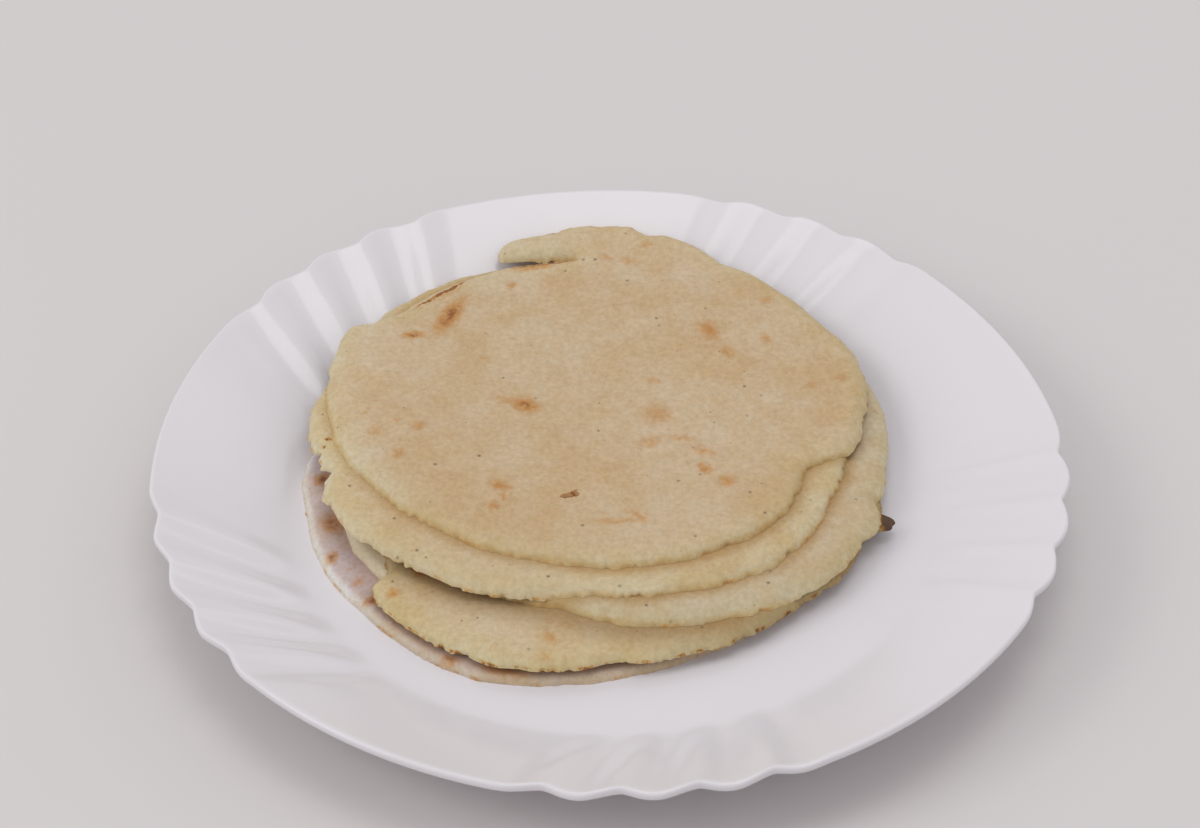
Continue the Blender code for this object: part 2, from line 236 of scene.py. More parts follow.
def shader_node(tree, kind, inputs=None, **settings):
    """Adds a node and fills its inputs, from values or from other nodes' sockets."""
    made = tree.nodes.new(kind)
    for name, value in settings.items():
        setattr(made, name, value)
    for name, value in (inputs or {}).items():
        if isinstance(value, bpy.types.NodeSocket):
            tree.links.new(value, made.inputs[name])
        else:
            made.inputs[name].default_value = value
    return made


def maths(tree, operation, first, second=0.0, clamp=False):
    """The result of one sum on two values or sockets."""
    made = shader_node(tree, "ShaderNodeMath", {0: first, 1: second}, operation=operation,
                       use_clamp=clamp)
    return made.outputs[0]


def vector_maths(tree, operation, first, second):
    """The result of one sum on two vectors."""
    made = shader_node(tree, "ShaderNodeVectorMath", {0: first, 1: second},
                       operation=operation)
    return made.outputs[0]


def ramp(tree, value, low, high, start=0.0, end=1.0):
    """A value turned smoothly from start at low to end at high."""
    made = shader_node(tree, "ShaderNodeMapRange",
                       {"Value": value, "From Min": low, "From Max": high, "To Min": start,
                        "To Max": end}, interpolation_type="SMOOTHSTEP")
    return made.outputs["Result"]


def blended(tree, share, first, second, blend="MIX"):
    """Two colours blended by a share."""
    made = shader_node(tree, "ShaderNodeMix", {0: share}, data_type="RGBA", blend_type=blend)
    for socket, colour in ((made.inputs[6], first), (made.inputs[7], second)):
        if isinstance(colour, bpy.types.NodeSocket):
            tree.links.new(colour, socket)
        else:
            socket.default_value = (*colour[:3], 1)
    return made.outputs[2]


def multiplied(tree, colour, share):
    """A colour with a share of each channel left."""
    return blended(tree, 1.0, colour, share, "MULTIPLY")


def noise_of(tree, position, size, detail=2.0, roughness=0.5, shift=0.0):
    """Noise between 0 and 1 with features of about a size in metres."""
    made = shader_node(tree, "ShaderNodeTexNoise",
                       {"Vector": position, "W": shift, "Scale": 1 / size, "Detail": detail,
                        "Roughness": roughness}, noise_dimensions="4D")
    return made.outputs["Fac"]


def new_group(name, inputs, outputs):
    """A shader node group with named sockets, and its input and output nodes."""
    tree = bpy.data.node_groups.new(name, "ShaderNodeTree")
    for direction, sockets in (("INPUT", inputs), ("OUTPUT", outputs)):
        for label, kind in sockets.items():
            tree.interface.new_socket(name=label, in_out=direction,
                                      socket_type="NodeSocket" + kind)
    return tree, tree.nodes.new("NodeGroupInput"), tree.nodes.new("NodeGroupOutput")


def use_group(tree, group, inputs):
    """Places a group in a tree."""
    made = shader_node(tree, "ShaderNodeGroup")
    made.node_tree = bpy.data.node_groups[group]
    for name, value in inputs.items():
        if isinstance(value, bpy.types.NodeSocket):
            tree.links.new(value, made.inputs[name])
        else:
            made.inputs[name].default_value = value
    return made


def build_mottle_group():
    """Broad, middle and fine unevenness of the dough's colour."""
    tree, given, result = new_group(
        "dough_mottle", {"Position": "Vector", "Seed": "Float"},
        {"Broad": "Float", "Patches": "Float", "Fine": "Float"})
    position, seed = given.outputs["Position"], given.outputs["Seed"]
    broad = noise_of(tree, position, 26 * MM, 3, 0.55, seed)
    patches = noise_of(tree, position, 8 * MM, 4, 0.6, seed)
    fine = noise_of(tree, position, 1.6 * MM, 4, 0.7, seed)
    tree.links.new(ramp(tree, broad, 0.38, 0.62), result.inputs["Broad"])
    tree.links.new(ramp(tree, patches, 0.41, 0.59), result.inputs["Patches"])
    tree.links.new(fine, result.inputs["Fine"])


def build_mark_group():
    """One mark: 1 in its middle and 0 outside an oval, with an outline of some softness."""
    tree, given, result = new_group(
        "toast_mark", {"Position": "Vector", "Centre": "Vector", "Size": "Vector",
                       "Turn": "Float", "Softness": "Float"}, {"Mask": "Float"})
    offset = vector_maths(tree, "SUBTRACT", given.outputs["Position"], given.outputs["Centre"])
    turned = shader_node(tree, "ShaderNodeVectorRotate",
                         {"Vector": offset, "Angle": given.outputs["Turn"]},
                         rotation_type="Z_AXIS")
    scaled = vector_maths(tree, "DIVIDE", turned.outputs[0], given.outputs["Size"])
    length = shader_node(tree, "ShaderNodeVectorMath", {0: scaled}, operation="LENGTH")
    outer = maths(tree, "ADD", 1.0, maths(tree, "MULTIPLY", given.outputs["Softness"], 0.5))
    inner = maths(tree, "SUBTRACT", 1.0, maths(tree, "MULTIPLY", given.outputs["Softness"], 0.9))
    tree.links.new(ramp(tree, length.outputs["Value"], outer, inner), result.inputs["Mask"])


def build_speck_group():
    """Small dark specks, one in some cells of a pattern of cells."""
    tree, given, result = new_group(
        "dark_specks", {"Position": "Vector", "Spacing": "Float", "Share": "Float",
                        "Size": "Float"}, {"Mask": "Float"})
    cells = shader_node(tree, "ShaderNodeTexVoronoi", {"Vector": given.outputs["Position"]},
                        feature="F1")
    tree.links.new(maths(tree, "DIVIDE", 1.0, given.outputs["Spacing"]), cells.inputs["Scale"])
    parts = shader_node(tree, "ShaderNodeSeparateColor", {"Color": cells.outputs["Color"]})
    chosen = maths(tree, "LESS_THAN", parts.outputs["Red"], given.outputs["Share"])
    reach = maths(tree, "MULTIPLY", maths(tree, "ADD", parts.outputs["Green"], 0.35),
                  given.outputs["Size"])
    reach = maths(tree, "DIVIDE", reach, given.outputs["Spacing"])
    near = ramp(tree, cells.outputs["Distance"], reach, 0.0)
    tree.links.new(maths(tree, "MULTIPLY", near, chosen), result.inputs["Mask"])


def build_grain_group():
    """Height of the crumb's grain and of soft swellings, in metres."""
    tree, given, result = new_group("crumb_grain", {"Position": "Vector", "Seed": "Float"},
                                    {"Height": "Float"})
    position, seed = given.outputs["Position"], given.outputs["Seed"]
    swellings = maths(tree, "MULTIPLY", noise_of(tree, position, 7 * MM, 2, 0.5, seed),
                      0.20 * MM)
    grain = maths(tree, "MULTIPLY", noise_of(tree, position, 0.7 * MM, 3, 0.6, seed),
                  0.07 * MM)
    tree.links.new(maths(tree, "ADD", swellings, grain), result.inputs["Height"])


# ---------------------------------------------------------------- materials

WARP_SIZE = 2.4 * MM
WARP_REACH = 3.2 * MM
MARK_SOFTNESS = 1.3
FLAKE_SOFTNESS = 0.25
HOLE_SOFTNESS = 0.2
HOLE_SHADE_WIDTH = 0.35  # millimetres of painted shade under a hole's near edge
LEFT_ZONE = (-55 * MM, -80 * MM)  # along X, from the usual colour to the paler one
BACK_ZONE = (80 * MM, 100 * MM)  # along Y, the same
OPEN_ZONE = (-45 * MM, -80 * MM)  # along X, where shelter weakens towards the light


def new_material(name):
    """A material with a Principled shader. Gives the material, its tree and the shader."""
    made = bpy.data.materials.new(name)
    made.use_nodes = True
    return made, made.node_tree, made.node_tree.nodes["Principled BSDF"]


def object_position(tree):
    """Places in the object's own axes."""
    return shader_node(tree, "ShaderNodeTexCoord").outputs["Object"]


def attribute(tree, name):
    """A value kept on the points of a mesh."""
    return shader_node(tree, "ShaderNodeAttribute", attribute_name=name).outputs["Fac"]


def warped_position(tree, position, seed):
    """Places shifted a little this way and that, so that outlines on them come out uneven."""
    wobble = shader_node(tree, "ShaderNodeTexNoise",
                         {"Vector": position, "W": seed, "Scale": 1 / WARP_SIZE, "Detail": 3.0,
                          "Roughness": 0.6}, noise_dimensions="4D")
    centred = vector_maths(tree, "SUBTRACT", wobble.outputs["Color"], (0.5, 0.5, 0.5))
    shift = vector_maths(tree, "MULTIPLY", centred, (WARP_REACH, WARP_REACH, WARP_REACH))
    flat = vector_maths(tree, "MULTIPLY", position, (1, 1, 0))
    return vector_maths(tree, "ADD", flat, shift)


def oval(tree, warped, x, y, length, width, turn, softness):
    """A mask of one mark, placed in millimetres and turned in degrees."""
    made = use_group(tree, "toast_mark", {
        "Position": warped, "Centre": (x * MM, y * MM, 0), "Size": (length * MM, width * MM, 1),
        "Turn": math.radians(-turn), "Softness": softness})
    return made.outputs["Mask"]


def marks_of(tree, warped, sheet):
    """How toasted a place is by the sheet's own marks and flakes."""
    toast = 0.0
    for kind, softness in (("marks", MARK_SOFTNESS), ("flakes", FLAKE_SOFTNESS)):
        for *place, darkness in sheet.get(kind, []):
            shade = maths(tree, "MULTIPLY", oval(tree, warped, *place, softness), darkness)
            toast = maths(tree, "MAXIMUM", shade, toast)
    return toast


def toast_of(tree, position, warped, sheet):
    """How toasted a place is: by faint blushes, by marks and along the edge."""
    seed = sheet["seed"]
    blush = ramp(tree, noise_of(tree, position, 5 * MM, 4, 0.65, seed + 20), 0.58, 0.76, 0, 0.4)
    broken = ramp(tree, noise_of(tree, position, 1.6 * MM, 4, 0.65, seed + 5), 0.3, 0.6,
                  0.6, 1.1)
    marked = maths(tree, "MULTIPLY", marks_of(tree, warped, sheet), broken)
    toast = maths(tree, "MAXIMUM", blush, marked)
    singed = ramp(tree, noise_of(tree, position, 4 * MM, 4, 0.7, seed + 13), 0.48, 0.66, 0, 1.3)
    outer = ramp(tree, attribute(tree, "inset"), 0.22, 0.06, 0, sheet["singe"])
    return maths(tree, "MAXIMUM", toast, maths(tree, "MULTIPLY", singed, outer))


def dough_colour(tree, position, sides, sheet, settings):
    """The mottled colour of the dough where it isn't toasted, yellower towards the edge."""
    mottle = use_group(tree, "dough_mottle",
                       {"Position": position, "Seed": float(sheet["seed"])})
    edge = ramp(tree, attribute(tree, "inset"), 0.9, 0.2)
    colour = blended(tree, edge, sheet["crumb"], sheet["rim"])
    # Paler towards the far left and the back, on every sheet alike.
    left = ramp(tree, sides.outputs["X"], *LEFT_ZONE)
    back = ramp(tree, sides.outputs["Y"], *BACK_ZONE, 0, 0.6)
    for share, tint in ((maths(tree, "MULTIPLY", mottle.outputs["Broad"], 0.75), "golden"),
                        (mottle.outputs["Patches"], "pale"),
                        (attribute(tree, "edge_zone"), "fringe"),
                        (maths(tree, "MAXIMUM", left, back), "paler_left_and_back")):
        colour = blended(tree, share, colour,
                         multiplied(tree, colour, getattr(settings, tint)))
    grey = mottle.outputs["Fine"]
    shade = shader_node(tree, "ShaderNodeCombineColor",
                        {"Red": ramp(tree, grey, 0.25, 0.75, 0.89, 1.10),
                         "Green": ramp(tree, grey, 0.25, 0.75, 0.87, 1.12),
                         "Blue": ramp(tree, grey, 0.25, 0.75, 0.84, 1.15)})
    return multiplied(tree, colour, shade.outputs["Color"])


def pierced(tree, colour, warped, sheet, settings):
    """A colour with the sheet's small holes painted in, with painted shade at each near edge."""
    for x, y, *shape in sheet.get("holes", []):
        inside, lit = (oval(tree, warped, x, y + up, *shape, HOLE_SOFTNESS)
                       for up in (0, HOLE_SHADE_WIDTH))
        left = blended(tree, lit, settings.hole_edge_shade, settings.hole)
        colour = blended(tree, inside, colour, multiplied(tree, colour, left))
    return colour


def burnt_at(tree, position, toast):
    """How burnt a place is: in specks of two sizes, and where it is most toasted."""
    specks = use_group(tree, "dark_specks", {"Position": position, "Spacing": 4.5 * MM,
                                             "Share": 0.6, "Size": 0.7 * MM})
    grains = use_group(tree, "dark_specks", {"Position": position, "Spacing": 1.7 * MM,
                                             "Share": 0.2, "Size": 0.32 * MM})
    burnt = maths(tree, "MAXIMUM", maths(tree, "MULTIPLY", specks.outputs["Mask"], 0.8),
                  maths(tree, "MULTIPLY", grains.outputs["Mask"], 0.35))
    return maths(tree, "MAXIMUM", burnt, ramp(tree, toast, 1.15, 1.35, 0, 0.9))


def crumb_material(name, sheet, settings):
    """Baked corn dough: toasted and burnt in places, with painted shade where it meets other
    sheets.
    """
    made, tree, shader = new_material(name)
    position, seed = object_position(tree), float(sheet["seed"])
    sides = shader_node(tree, "ShaderNodeSeparateXYZ", {"Vector": position})
    warped = warped_position(tree, position, seed)
    toast = toast_of(tree, position, warped, sheet)
    tint = blended(tree, ramp(tree, toast, 0.0, 0.65), (1, 1, 1), settings.light_toast)
    tint = blended(tree, ramp(tree, toast, 0.55, 1.1), tint, settings.dark_toast)
    colour = multiplied(tree, dough_colour(tree, position, sides, sheet, settings), tint)
    # Painted shade beside the edges of the sheets that lie above, weaker towards the open left.
    if sheet["above"]:
        shelter = maths(tree, "MULTIPLY", attribute(tree, "shelter"),
                        ramp(tree, sides.outputs["X"], *OPEN_ZONE, 1, 0.45))
        colour = blended(tree, shelter, colour, multiplied(tree, colour, sheet["shelter"]))
    colour = pierced(tree, colour, warped, sheet, settings)
    # Painted contact shade, in patches, where an edge rests on what is under it.
    patchy = ramp(tree, noise_of(tree, position, 3 * MM, 3, 0.6, seed + 9), 0.3, 0.6, 0.5, 1)
    toe = maths(tree, "MULTIPLY", attribute(tree, "toe"), patchy)
    colour = blended(tree, toe, colour, multiplied(tree, colour, sheet["toe"]))
    colour = blended(tree, burnt_at(tree, position, toast), colour, settings.char)
    tree.links.new(colour, shader.inputs["Base Color"])

    shader.inputs["Roughness"].default_value = 0.72
    shader.inputs["Specular IOR Level"].default_value = 0.3
    grain = use_group(tree, "crumb_grain", {"Position": position, "Seed": seed})
    bump = shader_node(tree, "ShaderNodeBump", {"Height": grain.outputs["Height"],
                                                "Strength": 0.42, "Distance": 1.0})
    tree.links.new(bump.outputs["Normal"], shader.inputs["Normal"])
    return made


def glass_material(settings):
    """White opal glass, glossy, with faint unevenness in the gloss."""
    made, tree, shader = new_material("opal_glass")
    position = object_position(tree)
    cloud = noise_of(tree, position, 40 * MM, 2, 0.5, 1.0)
    colour = blended(tree, ramp(tree, cloud, 0.3, 0.7), settings.glass,
                     [channel * 0.985 for channel in settings.glass])
    tree.links.new(colour, shader.inputs["Base Color"])
    film = noise_of(tree, position, 12 * MM, 4, 0.6, 3.0)
    tree.links.new(ramp(tree, film, 0.3, 0.7, 0.14, 0.20), shader.inputs["Roughness"])
    shader.inputs["IOR"].default_value = 1.5
    shader.inputs["Specular IOR Level"].default_value = 0.42
    return made


def table_material(settings):
    """A matt, almost even light grey."""
    made, tree, shader = new_material("table_top")
    position = object_position(tree)
    cloud = noise_of(tree, position, 300 * MM, 2, 0.5, 1.0)
    colour = blended(tree, ramp(tree, cloud, 0.3, 0.7), settings.table,
                     [channel * 0.98 for channel in settings.table])
    tree.links.new(colour, shader.inputs["Base Color"])
    shader.inputs["Roughness"].default_value = 0.6
    return made


# ---------------------------------------------------------------- shared modelling

def finish_piece(name, bm, material, node):
    """Makes an object of a bmesh, in place of a node of the frame."""
    bmesh.ops.recalc_face_normals(bm, faces=bm.faces)
    for face in bm.faces:
        face.smooth = True
    mesh = bpy.data.meshes.new(name)
    bm.to_mesh(mesh)
    bm.free()
    mesh.materials.append(material)
    piece = bpy.data.objects.new(name, mesh)
    bpy.context.scene.collection.objects.link(piece)
    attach(piece, "root")
    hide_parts(node)
    return piece


def smoothed(points, passes):
    """A closed run of points after passes of averaging with its neighbours."""
    for _ in range(passes):
        points = (np.roll(points, 1, 0) + 2 * points + np.roll(points, -1, 0)) / 4
    return points


def passes_for(distance, step):
    """How many passes of averaging blur by a distance."""
    return max(0, round(2 * (distance / step) ** 2))


def smooth_step(value, low, high):
    """0 at low and 1 at high, with a smooth change between them."""
    share = np.clip((value - low) / (high - low), 0, 1)
    return share * share * (3 - 2 * share)


# ---------------------------------------------------------------- plate

# All angles here are in degrees.
SECTORS = 5
SECTOR_ANGLE = 360 / SECTORS
FIRST_NOTCH = 334.3
PITCH = 9
NOTCHES = 4
FAN_ANGLE = PITCH * (NOTCHES - 1)
FAN_MARGIN = 0.75 * PITCH  # how far a fan's ribs reach past its outer notches
FAN_STEPS = 84
ARC_STEPS = 20
SECTOR_STEPS = FAN_STEPS + ARC_STEPS
RIDGE_LEAD = 2  # from a ridge on to its notch
EDGE_RISE = 0.8 * MM
NOTCH_BLUNTNESS = 0.45
PROFILE_RADIUS = 124.95 * MM
PROFILE_STEP = 2.2 * MM


def plate_profile(settings):
    """(radius, height) over the plate's upper side, round its edge and back underneath."""
    share = settings.radius / PROFILE_RADIUS
    upper = [(0, 5.3), (30, 5.3), (60, 5.3), (80, 5.3), (84, 5.4), (88.5, 6.2), (94, 8.5),
             (104, 13.4), (115, 19.0), (122, 22.7), (123.8, 23.7)]
    lip = [(124.3, 23.9), (124.75, 23.6), (124.95, 23.1), (124.95, 22.4), (124.75, 21.7),
           (124.3, 21.1)]
    lower = [(122.8, 20.2), (115, 16.0), (106, 10.9), (96, 5.5), (88, 2.6), (80, 1.9), (72, 1.8),
             (71.3, 1.5), (71, 0.6), (70.4, 0.05), (68.5, 0), (66.2, 0.05), (65.4, 0.8),
             (64.8, 1.7), (50, 1.8), (25, 1.8), (0, 1.8)]
    points = np.array(upper + lip + lower, float) * MM
    points[:, 0] *= share
    return points


def curve_through(points, longest):
    """Points no further apart than a distance on a smooth curve through the given ones."""
    ends = np.vstack([2 * points[0] - points[1], points, 2 * points[-1] - points[-2]])
    found = []
    for before, start, stop, after in zip(ends, ends[1:], ends[2:], ends[3:]):
        span = np.linalg.norm(stop - start)
        into = (stop - before) / np.linalg.norm(stop - before) * span
        out = (after - start) / np.linalg.norm(after - start) * span
        count = max(1, math.ceil(span / longest))
        for t in np.arange(count) / count:
            found.append((2 * t ** 3 - 3 * t ** 2 + 1) * start + (t ** 3 - 2 * t ** 2 + t) * into
                         + (3 * t ** 2 - 2 * t ** 3) * stop + (t ** 3 - t ** 2) * out)
    found.append(points[-1])
    return np.array(found)


def edge_offset(place, notch_depth):
    """How far the edge stands out from the plate's radius at a place in a sector, in degrees."""
    along_arc = np.clip((place - FAN_ANGLE) / (SECTOR_ANGLE - FAN_ANGLE), 0, 1)
    rise = EDGE_RISE * (2 * along_arc - 1) ** 2
    nearest = np.clip(np.round(place / PITCH), 0, NOTCHES - 1) * PITCH
    away = np.minimum(np.abs(place - nearest), np.abs(SECTOR_ANGLE - place))
    away = np.hypot(away, NOTCH_BLUNTNESS) - NOTCH_BLUNTNESS
    return rise - notch_depth * (1 - np.sin(np.pi * np.minimum(away / PITCH, 0.5)))


def rib_wave(place):
    """1 on a ridge, -1 in a trough and 0 on the arcs, at a place in a sector."""
    first_ridge, last_trough = -RIDGE_LEAD, FAN_ANGLE + PITCH / 2 - RIDGE_LEAD
    within = np.clip(place, first_ridge, last_trough)
    beyond = np.clip(np.abs(place - within) / (PITCH / 2), 0, 1)
    taper = (1 + np.cos(np.pi * beyond)) / 2
    return np.cos(2 * np.pi * (within - first_ridge) / PITCH) * taper


def fluted(points, settings):
    """Where the points of a plain turned sector go, for its ribs: rows of x, y and z."""
    radius = np.hypot(points[:, 0], points[:, 1])
    step = np.degrees(np.arctan2(points[:, 1], points[:, 0])) / SECTOR_ANGLE * SECTOR_STEPS
    place = np.interp(step, [0, FAN_STEPS, SECTOR_STEPS],
                      [-FAN_MARGIN, FAN_ANGLE + FAN_MARGIN, SECTOR_ANGLE - FAN_MARGIN])
    swirl = settings.swirl * np.log(settings.radius / np.clip(
        radius, settings.well_radius, settings.radius))
    angle = np.radians(FIRST_NOTCH + place) + swirl
    climb = np.clip((radius - settings.well_radius) / (settings.radius - settings.well_radius),
                    0, 1)
    radius = radius + edge_offset(place % SECTOR_ANGLE, settings.notch_depth) * climb ** 1.5
    rib = settings.rib_height * smooth_step(climb, 0.02, 0.45)
    rib *= 1 - 0.4 * smooth_step(climb, 0.6, 1)
    height = np.maximum(points[:, 2] + rib * rib_wave(place), 0)
    return np.column_stack([radius * np.cos(angle), radius * np.sin(angle), height])


def make_plate(settings):
    """One sector of a turned profile is pushed into ribs, then repeated around the plate."""
    bm = bmesh.new()
    profile = curve_through(plate_profile(settings), PROFILE_STEP)
    points = [bm.verts.new((radius, 0, height)) for radius, height in profile]
    edges = [bm.edges.new(pair) for pair in zip(points, points[1:])]
    bmesh.ops.spin(bm, geom=points + edges, cent=(0, 0, 0), axis=(0, 0, 1),
                   angle=math.radians(SECTOR_ANGLE), steps=SECTOR_STEPS)
    flutes = fluted(np.array([vert.co for vert in bm.verts]), settings)
    for vert, place in zip(bm.verts, flutes):
        vert.co = place
    sector = bm.verts[:] + bm.edges[:] + bm.faces[:]
    for number in range(1, SECTORS):
        copied = bmesh.ops.duplicate(bm, geom=sector)["geom"]
        bmesh.ops.rotate(bm, verts=[item for item in copied if isinstance(item, BMVert)],
                         cent=(0, 0, 0),
                         matrix=Matrix.Rotation(math.radians(number * SECTOR_ANGLE), 3, "Z"))
    bmesh.ops.remove_doubles(bm, verts=bm.verts, dist=5 * WELD)
    return finish_piece("dinner_plate", bm, glass_material(settings), "plate")


# ---------------------------------------------------------------- tortillas

FIELD_STEP = 2.5 * MM
FIELD_BLUR = 5 * MM
INSETS = [0, 0.12, 0.35, 0.75, 1.3, 2.0, 2.8]  # millimetres of the rings in from the edge
CONTACT = 0.02 * MM
HANGING = 2.4 * MM  # an edge further than this above what is under it hangs free
FREE_DROOP = 1.0 * MM
FREE_CONTACT_SHADE = 0.2  # how much of the painted contact shade a hanging edge keeps
DROOP = 4 * MM  # how far in from the edge it bends down
PROBE = 1.5 * MM  # how far above an edge the look for what is under it starts
CALMING = 8  # passes that even out the droop along an edge
# Edge zone is the dough's own colour; the other tints are painted contact shade and painted
# shade.
TINTS = ("edge_zone", "toe", "shelter")  # values on a sheet's points for its material
EDGE_ZONE = 11 * MM
# Width of the painted contact shade along an edge.
CONTACT_SHADE_WIDTH = 1.5 * MM
SHOULDER_POWER = 0.75  # 0.5 gives a round shoulder, and more gives a steeper one


def upper_side(node):
    """A bmesh of the upward faces of a node of the frame."""
    bm = bmesh.new()
    bm.from_mesh(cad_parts[node].data)
    bmesh.ops.remove_doubles(bm, verts=bm.verts, dist=WELD)
    bm.normal_update()
    bmesh.ops.delete(bm, geom=[face for face in bm.faces if face.normal.z < 0.5],
                     context="FACES")
    return bm


def edge_of(bm):
    """The places along the boundary of a surface, in order, anticlockwise."""
    beside = {}
    for edge in bm.edges:
        if edge.is_boundary:
            for vert in edge.verts:
                beside.setdefault(vert, []).append(edge.other_vert(vert))
    first = next(iter(beside))
    walk = [first, beside[first][0]]
    while walk[-1] is not first:
        before, here = walk[-2:]
        walk.append(next(vert for vert in beside[here] if vert is not before))
    points = np.array([vert.co.xy for vert in walk[:-1]])
    after = np.roll(points, -1, 0)
    area = (points[:, 0] * after[:, 1] - after[:, 0] * points[:, 1]).sum()
    return points if area > 0 else points[::-1]


def even_points(points, step):
    """A closed run of points placed again at even distances of about a step."""
    closed = np.vstack([points, points[:1]])
    along = np.concatenate([[0], np.cumsum(np.linalg.norm(np.diff(closed, axis=0), axis=1))])
    places = np.linspace(0, along[-1], round(along[-1] / step), endpoint=False)
    return np.column_stack([np.interp(places, along, closed[:, axis]) for axis in (0, 1)])


def outward(points):
    """Unit normals of a closed anticlockwise run of points."""
    along = np.roll(points, -1, 0) - np.roll(points, 1, 0)
    across = np.column_stack([along[:, 1], -along[:, 0]])
    return across / np.linalg.norm(across, axis=1, keepdims=True)


def waviness(points, size, seed):
    """Noise from -1 to 1 at each point, with features of about a size."""
    return np.array([noise.noise((x / size, y / size, seed)) for x, y in points])


def ragged_offset(points, sheet, step):
    """How far each point of an edge is moved outward: torn crumb, and small bites."""
    wander = 1.00 * waviness(points, 9 * MM, sheet["seed"])
    crumbs = 0.75 * waviness(points, 3.1 * MM, sheet["seed"] + 10)
    grit = 0.70 * waviness(points, 1.4 * MM, sheet["seed"] + 20)
    torn = np.clip(0.55 + 1.6 * waviness(points, 13 * MM, sheet["seed"] + 50), 0.12, 1.4)
    offset = (wander + (crumbs + grit) * torn) * sheet["ragged"] * MM
    draw = random.Random(sheet["seed"])
    count = len(points)
    places = np.arange(count)
    for _ in range(sheet["nicks"]):
        centre, width = draw.random() * count, draw.uniform(0.5, 1.3) * MM / step
        away = (places - centre + count / 2) % count - count / 2
        offset -= draw.uniform(0.4, 1) * sheet["nick_depth"] * np.exp(-(away / width) ** 2)
    return offset


def edge_rings(points, sheet, step):
    """The ragged edge and the rings inside it, each smoother than the one before."""
    points = smoothed(points, passes_for(0.7 * MM, step))
    ragged = ragged_offset(points, sheet, step)
    rings = []
    for inset in INSETS:
        inset *= MM
        calm = smoothed(points, passes_for(0.8 * inset, step))
        share = math.exp(-inset / (0.5 * MM))
        wide = 0.6 * smoothed(ragged, passes_for(1.5 * MM, step)) * math.exp(-inset / (2 * MM))
        rings.append(calm + outward(smoothed(calm, passes_for(1.2 * MM, step)))
                     * (ragged * share + wide * (1 - share) - inset)[:, None])
    return rings


class Drape:
    """The smoothed height of a node's upper side, at any place."""

    def __init__(self, bm, low, high):
        margin = 4 * FIELD_STEP
        self.start = np.array(low.xy) - margin
        counts = np.ceil((np.array(high.xy) + margin - self.start) / FIELD_STEP).astype(int) + 1
        tree = BVHTree.FromBMesh(bm)
        xs, ys = (self.start[axis] + FIELD_STEP * np.arange(counts[axis]) for axis in (0, 1))
        self.heights = np.array([[self.height_on(tree, x, y) for y in ys] for x in xs])
        for _ in range(passes_for(FIELD_BLUR, FIELD_STEP)):
            for axis in (0, 1):
                padded = np.pad(self.heights, [(1, 1) if a == axis else (0, 0) for a in (0, 1)],
                                mode="reflect", reflect_type="odd")
                lower, upper = (padded.take(range(k, k + self.heights.shape[axis]), axis=axis)
                                for k in (0, 2))
                self.heights = (lower + 2 * self.heights + upper) / 4

    @staticmethod
    def height_on(tree, x, y):
        """Height of the surface over a place, or of the nearest face's plane beside it."""
        hit = tree.ray_cast(Vector((x, y, 1)), Vector((0, 0, -1)))[0]
        if hit:
            return hit.z
        spot, normal, _, _ = tree.find_nearest(Vector((x, y, RIM_TOP / 2)))
        return spot.z - (normal.x * (x - spot.x) + normal.y * (y - spot.y)) / normal.z

    def __call__(self, points):
        """Heights at rows of x and y."""
        cells = (points - self.start) / FIELD_STEP
        corner = np.clip(cells.astype(int), 0, np.array(self.heights.shape) - 2)
        across, along = (cells - corner).T
        i, j = corner.T
        near = self.heights[i, j] * (1 - across) + self.heights[i + 1, j] * across
        far = self.heights[i, j + 1] * (1 - across) + self.heights[i + 1, j + 1] * across
        return near * (1 - along) + far * along


def lay_out_sheet(bm, rings, cell):
    """Rings of points with a face across the innermost, cut along a square lattice."""
    bm.verts.layers.int.new("place")
    for name in ("inset", "under", *TINTS):
        bm.verts.layers.float.new(name)
    place, inset = bm.verts.layers.int["place"], bm.verts.layers.float["inset"]
    ring = bmesh.ops.create_circle(bm, cap_ends=False, radius=1, segments=len(rings[0]))["verts"]
    for number, vert in enumerate(ring):
        vert[place] = number
        vert.co.xy = rings[0][number]
    edges = bm.edges[:]
    for points, distance in zip(rings[1:], INSETS[1:]):
        made = bmesh.ops.extrude_edge_only(bm, edges=edges)["geom"]
        ring = [item for item in made if isinstance(item, BMVert)]
        for vert in ring:
            vert.co.xy = points[vert[place]]
            vert[inset] = distance / INSETS[-1]
        inner = set(ring)
        edges = [item for item in made if isinstance(item, BMEdge)
                 and set(item.verts) <= inner]
    middle = bmesh.ops.contextual_create(bm, geom=edges)["faces"]
    shape = middle + list(middle[0].edges) + list(middle[0].verts)
    low, high = rings[-1].min(0), rings[-1].max(0)
    for axis in (0, 1):
        normal = (1 - axis, axis, 0)
        for value in np.arange(low[axis] + cell / 2, high[axis], cell):
            cut = (value * normal[0], value * normal[1], 0)
            shape = bmesh.ops.bisect_plane(bm, geom=shape, dist=cell / 8, plane_co=cut,
                                           plane_no=normal)["geom"]
    bmesh.ops.triangulate(bm, faces=bm.faces, quad_method="BEAUTY", ngon_method="BEAUTY")
    if sum(face.normal.z for face in bm.faces) < 0:
        bmesh.ops.reverse_faces(bm, faces=bm.faces)
    return bm.verts.layers.float["inset"], bm.verts.layers.float["under"]


def relief(points, seed):
    """Soft swellings of the upper side."""
    return (0.24 * waviness(points, 15 * MM, seed + 30)
            + 0.09 * waviness(points, 5 * MM, seed + 40)) * MM


